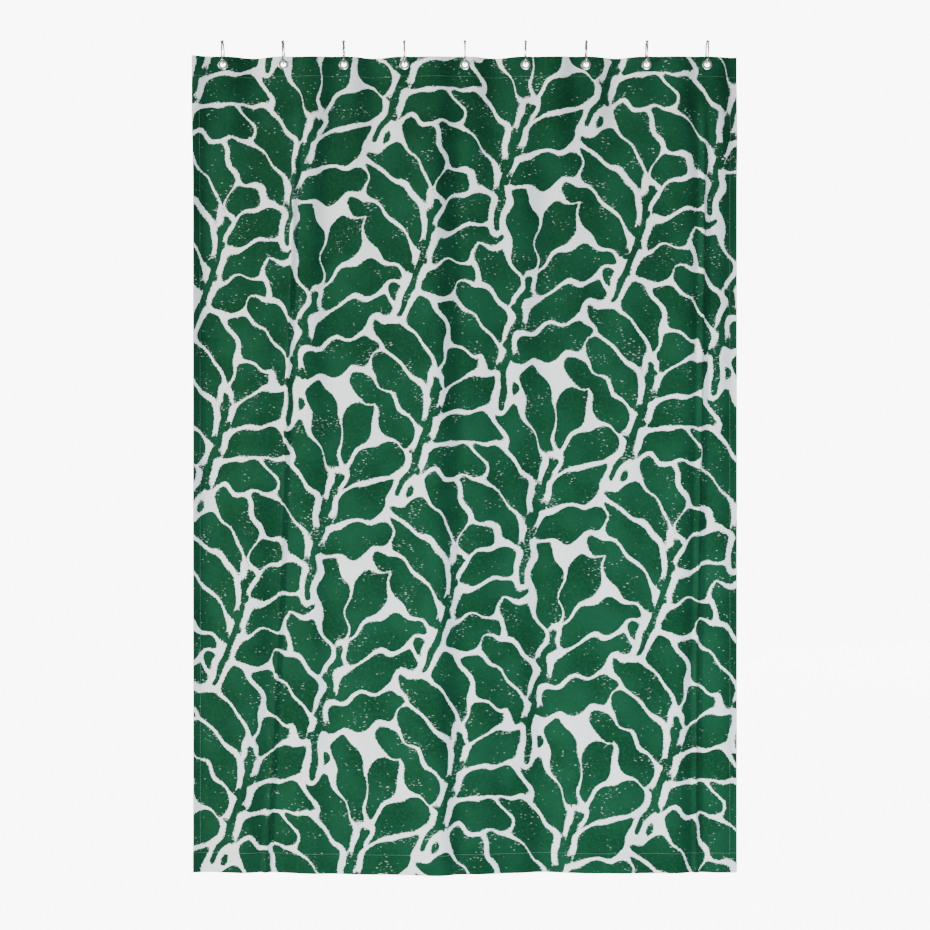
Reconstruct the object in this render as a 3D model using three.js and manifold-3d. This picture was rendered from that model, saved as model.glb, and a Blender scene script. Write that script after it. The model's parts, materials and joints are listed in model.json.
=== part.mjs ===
// A shower curtain hung on nine hinged snap rings, ready to thread on a rod. Millimetres, +Z up.
//
// The rod runs along X through the origin, and the cloth hangs below it in the XZ plane with its printed
// face towards -Y. The origin is on the rod's axis, midway between the side edges. Ring 1, at -X, is the
// anchor at the wall; ring 9, at +X, leads when the curtain is drawn.
//
// The cloth is one panel with its edges turned to the back: a top hem with a stiffener inside, two side
// hems and a bottom hem that holds a weight cord. Nine two-part eyelets clamp the top hem. Each ring is an
// open hoop of wire, a gate on a hinge pin, and a ball at the gate's tip that snaps into the hoop's cup.

import * as THREE from "three";
import { mergeVertices } from "three/addons/utils/BufferGeometryUtils.js";
import Module from "manifold-3d";

const wasm = await Module();
wasm.setup();

// ---------------------------------------------------------------- driving dimensions

const CLOTH_WIDTH = 1372; // flat, finished
const CLOTH_LENGTH = 1981;
const CLOTH_THICKNESS = 0.5;
const LAYER_GAP = 0.3; // between two layers of cloth, and between cloth and metal

const RING_COUNT = 9;
const EYELET_PITCH = 152.4; // measured along the flat cloth
const EYELET_DROP = 20; // from the cloth's top edge down to an eyelet's centre
const FLAT_HALF = 16; // the cloth lies flat this far to each side of an eyelet
const BULGE_SLOPE = 0.434; // steepest slope of the bulge between two eyelets, in radians
const BULGE_STEPS = 8; // straight pieces in one bulge

const TOP_HEM_HEIGHT = 50;
const SIDE_HEM_WIDTH = 20;
const BOTTOM_HEM_HEIGHT = 50;
const STIFFENER_HEIGHT = 44;
const STIFFENER_THICKNESS = 0.4;
const WEIGHT_CORD_RADIUS = 1.2;
const WEIGHT_CORD_LIFT = 5; // from the cloth's bottom edge up to the cord's middle

const ROD_RADIUS = 12.5; // the rod that the rings hang on at rest
const RING_RADIUS = 27; // to the middle of the wire
const WIRE_RADIUS = 2;
const SEAT_CUT = 0.4; // depth of the flat where a ring bears on the rod
const SEAT_LENGTH = 9;
const GATE_ANGLE = 50; // the gate reaches this far above and below the ring's middle, in degrees

const KNUCKLE_RADIUS = 3.5;
const KNUCKLE_WIDTH = 2; // the gate's eye, between the hoop's two ears
const EAR_GAP = 0.3;
const EAR_WIDTH = 1.8;
const EAR_REACH = 15; // degrees of hoop that an ear covers beyond the pin
const WIRE_SETBACK = 9; // degrees from the pin to where the round wire starts
const PIN_RADIUS = 1.2;
const PIN_BORE_RADIUS = 1.6;
const PIN_HEAD_RADIUS = 2;
const PIN_HEAD_WIDTH = 0.6;

const BALL_RADIUS = 2.5;
const CUP_RADIUS = 4.4;
const CUP_CLEARANCE = 0.45;

const EYELET_HOLE_RADIUS = 6;
const EYELET_BARREL_RADIUS = 6.9;
const EYELET_FLANGE_RADIUS = 12;
const EYELET_LIP_RADIUS = 8.6;
const CLOTH_HOLE_RADIUS = 7.6;
const WASHER_HOLE_RADIUS = 7.3;
const WASHER_THICKNESS = 0.6;
const EYELET_SLACK = 2.5; // from the wire's middle up to the top of the eyelet's hole

// ---------------------------------------------------------------- derived dimensions

const RING_CENTRE_Z = ROD_RADIUS + WIRE_RADIUS - SEAT_CUT - RING_RADIUS;
const WIRE_BOTTOM_Z = RING_CENTRE_Z - RING_RADIUS;
const EYELET_Z = WIRE_BOTTOM_Z + EYELET_SLACK - EYELET_HOLE_RADIUS;
const CLOTH_TOP_Z = EYELET_Z + EYELET_DROP;
const CLOTH_BOTTOM_Z = CLOTH_TOP_Z - CLOTH_LENGTH;
const BULGE_LENGTH = EYELET_PITCH - 2 * FLAT_HALF;
const EDGE_MARGIN = (CLOTH_WIDTH - (RING_COUNT - 1) * EYELET_PITCH) / 2;

// How far each layer's middle lies behind the middle of the cloth stack at an eyelet.
const LAYER_STEP = CLOTH_THICKNESS / 2 + LAYER_GAP + STIFFENER_THICKNESS / 2;
const PANEL_OFFSET = -LAYER_STEP;
const TOP_HEM_OFFSET = LAYER_STEP;
const SIDE_HEM_OFFSET = PANEL_OFFSET + CLOTH_THICKNESS + LAYER_GAP;
const WEIGHT_CORD_OFFSET = PANEL_OFFSET + CLOTH_THICKNESS / 2 + LAYER_GAP + WEIGHT_CORD_RADIUS;
const BOTTOM_HEM_OFFSET = WEIGHT_CORD_OFFSET + WEIGHT_CORD_RADIUS + LAYER_GAP + CLOTH_THICKNESS / 2;
const STACK_HALF = LAYER_STEP + CLOTH_THICKNESS / 2;

// ---------------------------------------------------------------- materials

const printedCloth = new THREE.MeshStandardMaterial({ color: 0x1f5f3c, roughness: 0.85, metalness: 0 });
const plainTape = new THREE.MeshStandardMaterial({ color: 0xe4dfe0, roughness: 0.9, metalness: 0 });
const weightCord = new THREE.MeshStandardMaterial({ color: 0xb9b6b0, roughness: 0.8, metalness: 0 });
const nickel = new THREE.MeshStandardMaterial({ color: 0xc9c9c6, roughness: 0.25, metalness: 1 });
const polishedSteel = new THREE.MeshStandardMaterial({ color: 0xd6d8da, roughness: 0.15, metalness: 1 });

// ---------------------------------------------------------------- solids: joining and cutting

/** A closed three.js geometry as a manifold-3d solid. */
function solid(geometry) {
  const bare = geometry.clone();
  bare.deleteAttribute("normal");
  bare.deleteAttribute("uv");
  const merged = mergeVertices(bare, 1e-4);
  return new wasm.Manifold(
    new wasm.Mesh({
      numProp: 3,
      vertProperties: merged.attributes.position.array,
      triVerts: new Uint32Array(merged.index.array),
    }),
  );
}

/** A manifold-3d solid as a three.js geometry. */
function geometryOf(body) {
  const { vertProperties, triVerts } = body.getMesh();
  const geometry = new THREE.BufferGeometry();
  geometry.setAttribute("position", new THREE.BufferAttribute(vertProperties, 3));
  geometry.setIndex(new THREE.BufferAttribute(triVerts, 1));
  geometry.computeVertexNormals();
  return geometry;
}

function named(name, geometry, material) {
  const mesh = new THREE.Mesh(geometry, material);
  mesh.name = name;
  return mesh;
}

// ---------------------------------------------------------------- the cloth's line, seen from above

/** Slope of the cloth's line at s millimetres from the left edge, in radians. */
function slopeAt(s) {
  const fromFirst = s - EDGE_MARGIN;
  const bay = Math.floor(fromFirst / EYELET_PITCH);
  const within = fromFirst - bay * EYELET_PITCH - FLAT_HALF;
  if (within < 0 || within > BULGE_LENGTH) return 0;
  const side = bay % 2 === 0 ? 1 : -1; // bulges go to the back and to the front in turn
  return side * BULGE_SLOPE * Math.sin((2 * Math.PI * within) / BULGE_LENGTH);
}

/** The places along the cloth where its line gets a point: the ends, the flats and each bulge's steps. */
function stations() {
  const found = [0];
  for (let bay = -1; bay <= RING_COUNT - 1; bay++) {
    const start = EDGE_MARGIN + bay * EYELET_PITCH + FLAT_HALF;
    for (let i = 0; i <= BULGE_STEPS; i++) found.push(start + (i * BULGE_LENGTH) / BULGE_STEPS);
  }
  found.push(SIDE_HEM_WIDTH, CLOTH_WIDTH - SIDE_HEM_WIDTH, CLOTH_WIDTH);
  const inside = found.filter((s) => s >= 0 && s <= CLOTH_WIDTH).sort((a, b) => a - b);
  return inside.filter((s, i) => i === 0 || s - inside[i - 1] > 0.5);
}

/** The cloth's middle line as points { s, x, y, slope }, centred on x = 0 and at y = 0 at every eyelet. */
function clothLine() {
  const substeps = 24;
  const points = [{ s: 0, x: 0, y: 0, slope: slopeAt(0) }];
  for (const s of stations().slice(1)) {
    const last = points[points.length - 1];
    const step = (s - last.s) / substeps;
    let { x, y } = last;
    for (let i = 0; i < substeps; i++) {
      const slope = slopeAt(last.s + (i + 0.5) * step);
      x += step * Math.cos(slope);
      y += step * Math.sin(slope);
    }
    points.push({ s, x, y, slope: slopeAt(s) });
  }
  const half = points[points.length - 1].x / 2;
  const atEyelet = points.find((p) => p.s > EDGE_MARGIN);
  const rise = atEyelet.y;
  return points.map((p) => ({ ...p, x: p.x - half, y: p.y - rise }));
}

const LINE = clothLine();

/** A point that lies offset millimetres behind a point of the cloth's line. */
function behind(point, offset) {
  return new THREE.Vector2(
    point.x - offset * Math.sin(point.slope),
    point.y + offset * Math.cos(point.slope),
  );
}

/** A layer of cloth between two heights, following the cloth's line from s = from to s = to. */
function clothLayer({ offset, thickness, bottom, top, from = 0, to = CLOTH_WIDTH }) {
  const run = LINE.filter((p) => p.s >= from - 0.01 && p.s <= to + 0.01);
  const front = run.map((p) => behind(p, offset - thickness / 2));
  const back = run.map((p) => behind(p, offset + thickness / 2)).reverse();
  const outline = new THREE.Shape([...front, ...back]);
  const geometry = new THREE.ExtrudeGeometry(outline, { depth: top - bottom, bevelEnabled: false, steps: 1 });
  return geometry.translate(0, 0, bottom);
}

/** x of each eyelet and ring. */
const HUNG_PITCH = LINE.find((p) => p.s > EDGE_MARGIN + EYELET_PITCH).x - LINE.find((p) => p.s > EDGE_MARGIN).x;
const ringX = (i) => (i - (RING_COUNT - 1) / 2) * HUNG_PITCH;

/** A layer of cloth with a round hole punched at every eyelet. */
function punched(geometry) {
  let body = solid(geometry);
  for (let i = 0; i < RING_COUNT; i++) {
    const punch = new THREE.CylinderGeometry(CLOTH_HOLE_RADIUS, CLOTH_HOLE_RADIUS, 6, 16);
    body = body.subtract(solid(punch.translate(ringX(i), 0, EYELET_Z)));
  }
  return geometryOf(body);
}

// ---------------------------------------------------------------- cloth sub-parts

function panel() {
  const layer = clothLayer({
    offset: PANEL_OFFSET,
    thickness: CLOTH_THICKNESS,
    bottom: CLOTH_BOTTOM_Z,
    top: CLOTH_TOP_Z,
  });
  return named("panel", punched(layer), printedCloth);
}

function topHem() {
  const layer = clothLayer({
    offset: TOP_HEM_OFFSET,
    thickness: CLOTH_THICKNESS,
    bottom: CLOTH_TOP_Z - TOP_HEM_HEIGHT,
    top: CLOTH_TOP_Z,
  });
  return named("top_hem", punched(layer), printedCloth);
}

function headerStiffener() {
  const inset = (TOP_HEM_HEIGHT - STIFFENER_HEIGHT) / 2;
  const layer = clothLayer({
    offset: 0,
    thickness: STIFFENER_THICKNESS,
    bottom: CLOTH_TOP_Z - TOP_HEM_HEIGHT + inset,
    top: CLOTH_TOP_Z - inset,
  });
  return named("header_stiffener", punched(layer), plainTape);
}

function sideHem(name, from, to) {
  const layer = clothLayer({
    offset: SIDE_HEM_OFFSET,
    thickness: CLOTH_THICKNESS,
    bottom: CLOTH_BOTTOM_Z + BOTTOM_HEM_HEIGHT + LAYER_GAP,
    top: CLOTH_TOP_Z - TOP_HEM_HEIGHT - LAYER_GAP,
    from,
    to,
  });
  return named(name, layer, printedCloth);
}

function bottomHem() {
  const layer = clothLayer({
    offset: BOTTOM_HEM_OFFSET,
    thickness: CLOTH_THICKNESS,
    bottom: CLOTH_BOTTOM_Z,
    top: CLOTH_BOTTOM_Z + BOTTOM_HEM_HEIGHT,
  });
  return named("bottom_hem", layer, printedCloth);
}

function hemWeightCord() {
  const layer = clothLayer({
    offset: WEIGHT_CORD_OFFSET,
    thickness: 2 * WEIGHT_CORD_RADIUS,
    bottom: CLOTH_BOTTOM_Z + WEIGHT_CORD_LIFT - WEIGHT_CORD_RADIUS,
    top: CLOTH_BOTTOM_Z + WEIGHT_CORD_LIFT + WEIGHT_CORD_RADIUS,
  });
  return named("hem_weight_cord", layer, weightCord);
}

// ---------------------------------------------------------------- eyelets

const outline = (points) => points.map(([r, y]) => new THREE.Vector2(r, y));

/** The eyelet's face flange, its barrel and the lip rolled over the washer, turned about the Y axis. */
function eyelet(number) {
  const faceInner = -(STACK_HALF + LAYER_GAP);
  const lipInner = STACK_HALF + LAYER_GAP + WASHER_THICKNESS + LAYER_GAP;
  const profile = outline([
    [EYELET_HOLE_RADIUS, -1.5],
    [EYELET_HOLE_RADIUS + 1.2, faceInner - 1],
    [EYELET_FLANGE_RADIUS - 1, faceInner - 0.8],
    [EYELET_FLANGE_RADIUS, faceInner],
    [EYELET_BARREL_RADIUS, faceInner],
    [EYELET_BARREL_RADIUS, lipInner],
    [EYELET_LIP_RADIUS, lipInner],
    [EYELET_LIP_RADIUS - 0.8, lipInner + 0.7],
    [EYELET_HOLE_RADIUS, 1.5],
    [EYELET_HOLE_RADIUS, -1.5],
  ]);
  return named(`eyelet_${number}`, new THREE.LatheGeometry(profile, 16), nickel);
}

/** The flat washer that the eyelet's lip holds against the back of the top hem. */
function eyeletWasher(number) {
  const inner = STACK_HALF + LAYER_GAP;
  const profile = outline([
    [WASHER_HOLE_RADIUS, inner],
    [EYELET_FLANGE_RADIUS, inner],
    [EYELET_FLANGE_RADIUS, inner + WASHER_THICKNESS],
    [WASHER_HOLE_RADIUS, inner + WASHER_THICKNESS],
    [WASHER_HOLE_RADIUS, inner],
  ]);
  return named(`eyelet_washer_${number}`, new THREE.LatheGeometry(profile, 16), nickel);
}

// ---------------------------------------------------------------- rings

/** A point of the ring's middle line. Degrees run from the front, over the top, to the back. */
function onRing(degrees, radius = RING_RADIUS) {
  const a = THREE.MathUtils.degToRad(degrees);
  return new THREE.Vector3(0, -radius * Math.cos(a), radius * Math.sin(a));
}

class RingArc extends THREE.Curve {
  constructor(from, to) {
    super();
    this.from = from;
    this.to = to;
  }
  getPoint(t) {
    return onRing(this.from + t * (this.to - this.from));
  }
}

/** Round wire that follows the ring from one angle to another. */
function wire(from, to, steps) {
  const sides = 8;
  const section = Array.from({ length: sides }, (_, i) => {
    const a = ((i + 0.5) * 2 * Math.PI) / sides;
    return new THREE.Vector2(WIRE_RADIUS * Math.cos(a), WIRE_RADIUS * Math.sin(a));
  });
  return solid(
    new THREE.ExtrudeGeometry(new THREE.Shape(section), { steps, extrudePath: new RingArc(from, to) }),
  );
}

/** A flat link from the hinge pin to the wire at the given angle, between two values of x. */
function link(angle, x0, x1) {
  const pin = onRing(GATE_ANGLE);
  const end = onRing(angle);
  const along = Math.atan2(end.z - pin.z, end.y - pin.y);
  const length = Math.hypot(end.y - pin.y, end.z - pin.z);
  const shape = new THREE.Shape();
  shape.absarc(0, 0, KNUCKLE_RADIUS, Math.PI / 2, (3 * Math.PI) / 2, false);
  shape.lineTo(length, -WIRE_RADIUS);
  shape.lineTo(length, WIRE_RADIUS);
  shape.closePath();
  const plate = new THREE.ExtrudeGeometry(shape, { depth: x1 - x0, bevelEnabled: false, curveSegments: 8 });
  // Shape's x runs along the link in the YZ plane, and its depth runs along X.
  const place = new THREE.Matrix4().makeBasis(
    new THREE.Vector3(0, Math.cos(along), Math.sin(along)),
    new THREE.Vector3(0, -Math.sin(along), Math.cos(along)),
    new THREE.Vector3(1, 0, 0),
  );
  place.setPosition(x0, pin.y, pin.z);
  return solid(plate.applyMatrix4(place));
}

const alongX = (geometry) => geometry.rotateZ(Math.PI / 2);
const pinBore = () => {
  const pin = onRing(GATE_ANGLE);
  const bore = new THREE.CylinderGeometry(PIN_BORE_RADIUS, PIN_BORE_RADIUS, 20, 12);
  return solid(alongX(bore).translate(0, pin.y, pin.z));
};

/** The hoop: wire with two ears for the pin at one end and an open cup at the other. */
function ringHoop() {
  const tip = onRing(-GATE_ANGLE);
  const earStart = KNUCKLE_WIDTH / 2 + EAR_GAP;
  const recess = BALL_RADIUS + CUP_CLEARANCE;
  const cup = solid(new THREE.SphereGeometry(CUP_RADIUS, 12, 8).translate(0, tip.y, tip.z));
  const ballSpace = solid(new THREE.SphereGeometry(recess, 12, 8).translate(0, tip.y, tip.z));
  const mouthLength = 8;
  const mouth = new THREE.BoxGeometry(2 * recess, mouthLength, recess + mouthLength);
  mouth.translate(0, tip.y - mouthLength / 2, tip.z - recess + (recess + mouthLength) / 2);
  const seat = new THREE.BoxGeometry(3 * WIRE_RADIUS, SEAT_LENGTH, 4 * WIRE_RADIUS);
  seat.translate(0, 0, RING_RADIUS - WIRE_RADIUS + SEAT_CUT - 2 * WIRE_RADIUS);
  return wire(GATE_ANGLE + WIRE_SETBACK, 360 - GATE_ANGLE, 21)
    .add(link(GATE_ANGLE + EAR_REACH, earStart, earStart + EAR_WIDTH))
    .add(link(GATE_ANGLE + EAR_REACH, -earStart - EAR_WIDTH, -earStart))
    .add(cup)
    .subtract(ballSpace)
    .subtract(solid(mouth))
    .subtract(pinBore())
    .subtract(solid(seat));
}

/** The gate: an eye on the pin, wire down the front of the ring, and the ball that snaps into the cup. */
function ringGate() {
  const tip = onRing(-GATE_ANGLE);
  const half = KNUCKLE_WIDTH / 2;
  const ball = new THREE.SphereGeometry(BALL_RADIUS, 10, 7).translate(0, tip.y, tip.z);
  return wire(-GATE_ANGLE, GATE_ANGLE - WIRE_SETBACK, 8)
    .add(link(GATE_ANGLE - EAR_REACH, -half, half))
    .add(solid(ball))
    .subtract(pinBore());
}

/** The hinge pin, headed at both ends. */
function hingePin() {
  const shaftHalf = KNUCKLE_WIDTH / 2 + EAR_GAP + EAR_WIDTH + LAYER_GAP;
  const profile = outline([
    [0, -shaftHalf - PIN_HEAD_WIDTH],
    [PIN_HEAD_RADIUS, -shaftHalf - PIN_HEAD_WIDTH],
    [PIN_HEAD_RADIUS, -shaftHalf],
    [PIN_RADIUS, -shaftHalf],
    [PIN_RADIUS, shaftHalf],
    [PIN_HEAD_RADIUS, shaftHalf],
    [PIN_HEAD_RADIUS, shaftHalf + PIN_HEAD_WIDTH],
    [0, shaftHalf + PIN_HEAD_WIDTH],
  ]);
  const pin = onRing(GATE_ANGLE);
  return alongX(new THREE.LatheGeometry(profile, 8)).translate(0, pin.y, pin.z);
}

// ---------------------------------------------------------------- assembly

const curtain = new THREE.Group();

curtain.add(
  panel(),
  topHem(),
  headerStiffener(),
  sideHem("anchor_side_hem", 0, SIDE_HEM_WIDTH),
  sideHem("leading_side_hem", CLOTH_WIDTH - SIDE_HEM_WIDTH, CLOTH_WIDTH),
  bottomHem(),
  hemWeightCord(),
);

const hoopGeometry = geometryOf(ringHoop());
const gateGeometry = geometryOf(ringGate());
const pinGeometry = hingePin();

for (let i = 0; i < RING_COUNT; i++) {
  const number = i + 1;

  const eyeletGroup = new THREE.Group();
  eyeletGroup.position.set(ringX(i), 0, EYELET_Z);
  eyeletGroup.add(eyelet(number), eyeletWasher(number));

  const ringGroup = new THREE.Group();
  ringGroup.position.set(ringX(i), 0, RING_CENTRE_Z);
  ringGroup.add(
    named(`ring_hoop_${number}`, hoopGeometry, polishedSteel),
    named(`ring_gate_${number}`, gateGeometry, polishedSteel),
    named(`hinge_pin_${number}`, pinGeometry, polishedSteel),
  );

  curtain.add(eyeletGroup, ringGroup);
}

export default curtain;
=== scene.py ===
"""A printed fabric shower curtain on hinged snap rings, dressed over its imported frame. Metres, +Z up.

The rod's axis is the X axis, the printed face looks towards -Y and the cloth hangs below the origin.
A place on the cloth is given flat: `s` metres from the left edge and `v` metres below the top edge.
"""

import json
import logging
import math
from dataclasses import dataclass, field
from enum import Enum

import bmesh
import bpy
import numpy as np
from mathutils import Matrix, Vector

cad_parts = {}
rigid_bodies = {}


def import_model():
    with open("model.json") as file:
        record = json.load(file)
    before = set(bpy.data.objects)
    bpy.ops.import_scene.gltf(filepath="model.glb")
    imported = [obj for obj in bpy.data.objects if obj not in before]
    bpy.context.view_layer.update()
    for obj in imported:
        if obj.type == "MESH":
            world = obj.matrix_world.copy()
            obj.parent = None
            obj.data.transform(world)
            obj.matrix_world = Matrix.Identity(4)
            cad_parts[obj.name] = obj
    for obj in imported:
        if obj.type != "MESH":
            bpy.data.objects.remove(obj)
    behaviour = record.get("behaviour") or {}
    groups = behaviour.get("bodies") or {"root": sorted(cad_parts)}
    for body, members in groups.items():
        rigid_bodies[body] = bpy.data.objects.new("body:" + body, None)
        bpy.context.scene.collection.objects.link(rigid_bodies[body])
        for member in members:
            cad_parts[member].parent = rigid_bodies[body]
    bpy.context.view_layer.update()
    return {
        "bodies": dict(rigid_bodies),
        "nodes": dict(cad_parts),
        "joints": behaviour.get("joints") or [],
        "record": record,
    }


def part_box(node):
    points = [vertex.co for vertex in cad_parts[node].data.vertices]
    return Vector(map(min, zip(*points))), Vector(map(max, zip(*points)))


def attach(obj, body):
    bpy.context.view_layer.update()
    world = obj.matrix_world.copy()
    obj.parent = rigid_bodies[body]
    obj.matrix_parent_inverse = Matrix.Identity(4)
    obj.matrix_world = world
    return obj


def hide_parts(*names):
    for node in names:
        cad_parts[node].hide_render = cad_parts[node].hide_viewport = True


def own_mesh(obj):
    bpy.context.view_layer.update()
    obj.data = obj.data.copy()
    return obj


log = logging.getLogger("shower_curtain")

RING_COUNT = 9
# The cloth's UV map holds its flat place in metres, divided by this so that it fits the unit square.
FLAT_SCALE = 2.0
# Columns and rows about an eyelet's middle, closer together than on the rest of the cloth.
ROUND_EYELET = np.arange(-0.012, 0.0121, 0.002)


class Face(Enum):
    """Which face of the cloth a row of stitches shows on."""

    FRONT = -1
    BACK = 1


# ------------------------------------------------------------------------------ node helpers


class NodeBook:
    """Writes nodes into a tree and returns their output sockets."""

    def __init__(self, tree: bpy.types.NodeTree) -> None:
        """Keep the tree that the nodes go into.

        Args:
            tree: a shader or geometry node tree.
        """
        self.tree = tree

    def node(self, kind: str, **settings: object) -> bpy.types.Node:
        """Add a node.

        Args:
            kind: the node's type name.
            settings: properties to set on it.

        Returns:
            The new node.
        """
        made = self.tree.nodes.new(kind)
        for name, value in settings.items():
            setattr(made, name, value)
        return made

    def feed(self, socket: bpy.types.NodeSocket, value: object) -> None:
        """Link an output socket into an input socket, or set a constant on it.

        Args:
            socket: the input socket.
            value: an output socket or a constant.
        """
        if isinstance(value, bpy.types.NodeSocket):
            self.tree.links.new(value, socket)
        elif value is not None:
            socket.default_value = value

    def math(self, operation: str, *values: object) -> bpy.types.NodeSocket:
        """Add a Math node.

        Args:
            operation: the node's operation.
            values: up to three inputs, sockets or numbers.

        Returns:
            The result's socket.
        """
        made = self.node("ShaderNodeMath", operation=operation)
        for socket, value in zip(made.inputs, values):
            self.feed(socket, value)
        return made.outputs[0]

    def vector(self, operation: str, *values: object) -> bpy.types.NodeSocket:
        """Add a Vector Math node.

        Args:
            operation: the node's operation.
            values: inputs, sockets or tuples.

        Returns:
            The vector's socket, or the number's for LENGTH.
        """
        made = self.node("ShaderNodeVectorMath", operation=operation)
        for socket, value in zip(made.inputs, values):
            self.feed(socket, value)
        return made.outputs["Value" if operation == "LENGTH" else "Vector"]

    def wave(self, angle: object, size: float) -> bpy.types.NodeSocket:
        """A sine of a size.

        Args:
            angle: socket with the angle in radians.
            size: what the sine is multiplied by.

        Returns:
            The result's socket.
        """
        return self.math("MULTIPLY", self.math("SINE", angle), size)

    def noise(self, vector: object, scale: float, detail: float = 2.0) -> bpy.types.NodeSocket:
        """Add a Noise Texture.

        Args:
            vector: socket with the place.
            scale: repeats per metre.
            detail: octaves.

        Returns:
            The value's socket, about 0.5 on average.
        """
        made = self.node("ShaderNodeTexNoise")
        self.feed(made.inputs["Vector"], vector)
        made.inputs["Scale"].default_value = scale
        made.inputs["Detail"].default_value = detail
        return made.outputs[0]

    def ramp(self, value: bpy.types.NodeSocket, low: float, high: float, to_low: float = 0.0,
             to_high: float = 1.0) -> bpy.types.NodeSocket:
        """Map a range smoothly onto another.

        Args:
            value: socket with the number.
            low: start of the range.
            high: end of the range.
            to_low: result at the start.
            to_high: result at the end.

        Returns:
            The result's socket.
        """
        made = self.node("ShaderNodeMapRange", interpolation_type="SMOOTHSTEP")
        limits = {"From Min": low, "From Max": high, "To Min": to_low, "To Max": to_high}
        for name, number in limits.items():
            made.inputs[name].default_value = number
        self.feed(made.inputs["Value"], value)
        return made.outputs[0]

    def mix(self, factor: object, first: object, second: object) -> bpy.types.NodeSocket:
        """Mix two colours.

        Args:
            factor: socket or number, 0 for the first colour.
            first: socket or colour.
            second: socket or colour.

        Returns:
            The colour's socket.
        """
        made = self.node("ShaderNodeMix", data_type="RGBA")
        self.feed(made.inputs["Factor"], factor)
        self.feed(made.inputs["A"], first)
        self.feed(made.inputs["B"], second)
        return made.outputs["Result"]


# ------------------------------------------------------------------------------ the leaf print


@dataclass
class Leaf:
    """One leaf of the print: where it leaves its stem and how it grows."""

    root: tuple[float, float]
    stem_turn: float
    side: int
    spread: float
    length: float
    half_width: float
    bend: float

    def axis(self) -> tuple[float, float, float, float]:
        """The leaf's middle line.

        Returns:
            Centre across and up, the turn in radians, and half its length.
        """
        turn = self.stem_turn + self.side * math.radians(self.spread)
        half = self.length / 2 - self.half_width * 0.25
        reach = half + 0.003
        x = self.root[0] + math.cos(turn) * reach
        y = self.root[1] + math.sin(turn) * reach
        return x, y, turn, half


@dataclass
class Stem:
    """A stretch of stem, slightly bowed."""

    centre: tuple[float, float]
    turn: float
    half: float
    bow: float


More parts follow.
